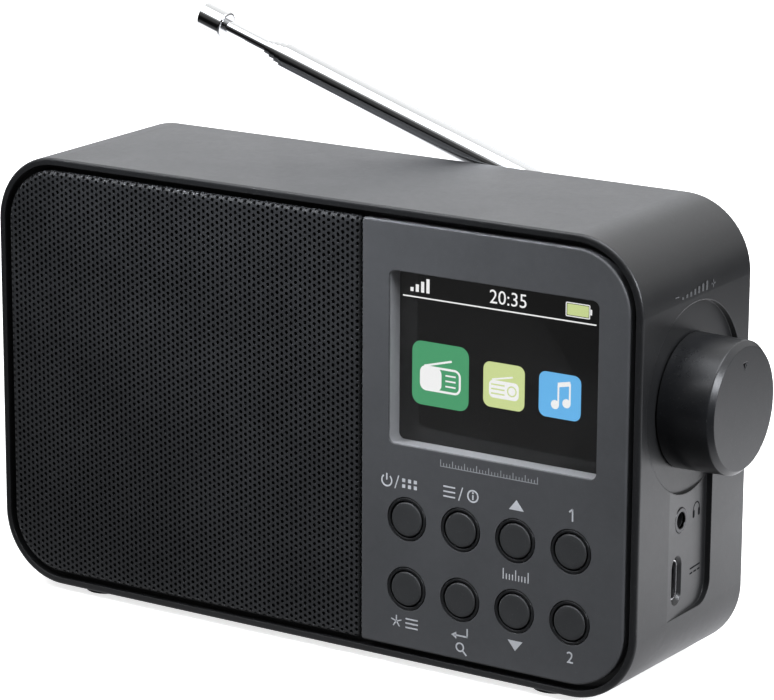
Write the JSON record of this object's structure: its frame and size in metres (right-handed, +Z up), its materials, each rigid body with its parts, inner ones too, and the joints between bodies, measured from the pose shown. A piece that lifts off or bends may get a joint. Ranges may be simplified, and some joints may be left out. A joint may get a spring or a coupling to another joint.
{
  "type": "tabletop radio",
  "caption": "Small portable tabletop radio with a perforated speaker grille, colour display, push buttons, side volume knob and a telescopic antenna on the back.",
  "frame": {"origin": "middle of the whole object's box, on the surface it stands on", "axes": "+X to the right as the front is looked at, +Y from the front to the back, +Z up"},
  "size_m": [0.1818, 0.0558, 0.1327],
  "materials": {
    "case_plastic": "satin grey, fine moulded grain",
    "panel_plastic": "satin dark grey",
    "grille_metal": "black powder coat, perforated",
    "scrim_cloth": "black dust cloth",
    "bezel_plastic": "semi-gloss black",
    "button_plastic": "soft-touch charcoal",
    "knob_plastic": "satin grey paint",
    "lens_glass": "clear window",
    "display_glass": "black display with a lit picture",
    "board": "solder-masked circuit board",
    "board_parts": "moulded chips and connectors",
    "screw_steel": "blackened screws",
    "sheet_steel": "bright plated steel",
    "brass": "turned brass",
    "chrome": "polished plating",
    "rubber": "moulded rubber",
    "cone_paper": "pressed paper",
    "magnet": "ferrite and plated pole",
    "cell_wrap": "shrink-wrapped cell",
    "holder_plastic": "moulded black",
    "lead_cover": "insulated wire and film"
  },
  "bodies": {
    "case": {"main_shell": "case_plastic", "rear_cover": "case_plastic", "rear_cover_screws": "screw_steel", "rubber_feet": "rubber", "front_panel": "panel_plastic", "speaker_grille": "grille_metal", "speaker_scrim": "scrim_cloth", "button_bezels": "bezel_plastic", "switch_bodies": "board_parts", "display_lens": "lens_glass", "display_module": "display_glass", "display_bracket": "sheet_steel", "display_ribbon": "lead_cover", "control_board": "board", "main_board": "board", "main_board_parts": "board_parts", "side_board": "board", "board_screws": "screw_steel", "speaker_frame": "sheet_steel", "speaker_surround": "rubber", "speaker_cone": "cone_paper", "speaker_dust_cap": "cone_paper", "speaker_magnet": "magnet", "speaker_screws": "screw_steel", "speaker_leads": "lead_cover", "encoder_body": "sheet_steel", "encoder_nut": "brass", "headphone_jack": "board_parts", "jack_ring": "chrome", "usb_c_shell": "sheet_steel", "usb_c_tongue": "holder_plastic", "battery_cell": "cell_wrap", "battery_holder": "holder_plastic"},
    "volume_knob": {"volume_knob": "knob_plastic", "encoder_shaft": "brass"},
    "antenna_base": {"antenna_turret": "chrome", "antenna_screw": "screw_steel", "antenna_hinge_pin": "chrome"},
    "button_power": {"button_power": "button_plastic", "plunger_power": "board_parts"},
    "button_menu": {"button_menu": "button_plastic", "plunger_menu": "board_parts"},
    "button_up": {"button_up": "button_plastic", "plunger_up": "board_parts"},
    "button_preset_1": {"button_preset_1": "button_plastic", "plunger_preset_1": "board_parts"},
    "button_preset": {"button_preset": "button_plastic", "plunger_preset": "board_parts"},
    "button_enter": {"button_enter": "button_plastic", "plunger_enter": "board_parts"},
    "button_down": {"button_down": "button_plastic", "plunger_down": "board_parts"},
    "button_preset_2": {"button_preset_2": "button_plastic", "plunger_preset_2": "board_parts"},
    "antenna_section_1": {"antenna_section_1": "chrome"},
    "antenna_section_2": {"antenna_section_2": "chrome"},
    "antenna_section_3": {"antenna_section_3": "chrome"},
    "antenna_section_4": {"antenna_section_4": "chrome"},
    "antenna_section_5": {"antenna_section_5": "chrome", "antenna_tip": "chrome"}
  },
  "joints": [
    {"name": "press_power", "type": "slide", "parent": "case", "child": "button_power", "axis": [0, 1, 0], "range_m": [0, 0.0006], "stiffness_N_per_m": 1500, "springref_m": -0.0004},
    {"name": "press_menu", "type": "slide", "parent": "case", "child": "button_menu", "axis": [0, 1, 0], "range_m": [0, 0.0006], "stiffness_N_per_m": 1500, "springref_m": -0.0004},
    {"name": "press_up", "type": "slide", "parent": "case", "child": "button_up", "axis": [0, 1, 0], "range_m": [0, 0.0006], "stiffness_N_per_m": 1500, "springref_m": -0.0004},
    {"name": "press_preset_1", "type": "slide", "parent": "case", "child": "button_preset_1", "axis": [0, 1, 0], "range_m": [0, 0.0006], "stiffness_N_per_m": 1500, "springref_m": -0.0004},
    {"name": "press_preset", "type": "slide", "parent": "case", "child": "button_preset", "axis": [0, 1, 0], "range_m": [0, 0.0006], "stiffness_N_per_m": 1500, "springref_m": -0.0004},
    {"name": "press_enter", "type": "slide", "parent": "case", "child": "button_enter", "axis": [0, 1, 0], "range_m": [0, 0.0006], "stiffness_N_per_m": 1500, "springref_m": -0.0004},
    {"name": "press_down", "type": "slide", "parent": "case", "child": "button_down", "axis": [0, 1, 0], "range_m": [0, 0.0006], "stiffness_N_per_m": 1500, "springref_m": -0.0004},
    {"name": "press_preset_2", "type": "slide", "parent": "case", "child": "button_preset_2", "axis": [0, 1, 0], "range_m": [0, 0.0006], "stiffness_N_per_m": 1500, "springref_m": -0.0004},
    {"name": "volume_turn", "type": "hinge", "parent": "case", "child": "volume_knob", "pos_m": [0.07805, -0.00417, 0.0646], "axis": [1, 0, 0], "continuous": true},
    {"name": "antenna_swivel", "type": "hinge", "parent": "case", "child": "antenna_base", "pos_m": [0.06205, 0.02463, 0.0863], "axis": [0, 1, 0], "range_deg": [-18.3, 161.7]},
    {"name": "antenna_tilt", "type": "hinge", "parent": "antenna_base", "child": "antenna_section_1", "pos_m": [0.06205, 0.02463, 0.0863], "axis": [-0.314, 0, -0.9494], "range_deg": [0, 90]},
    {"name": "antenna_slide_1", "type": "slide", "parent": "antenna_section_1", "child": "antenna_section_2", "axis": [-0.9494, 0, 0.314], "range_m": [0, 0.092]},
    {"name": "antenna_slide_2", "type": "slide", "parent": "antenna_section_2", "child": "antenna_section_3", "axis": [-0.9494, 0, 0.314], "range_m": [0, 0.092]},
    {"name": "antenna_slide_3", "type": "slide", "parent": "antenna_section_3", "child": "antenna_section_4", "axis": [-0.9494, 0, 0.314], "range_m": [0, 0.092]},
    {"name": "antenna_slide_4", "type": "slide", "parent": "antenna_section_4", "child": "antenna_section_5", "axis": [-0.9494, 0, 0.314], "range_m": [0, 0.092]}
  ]
}
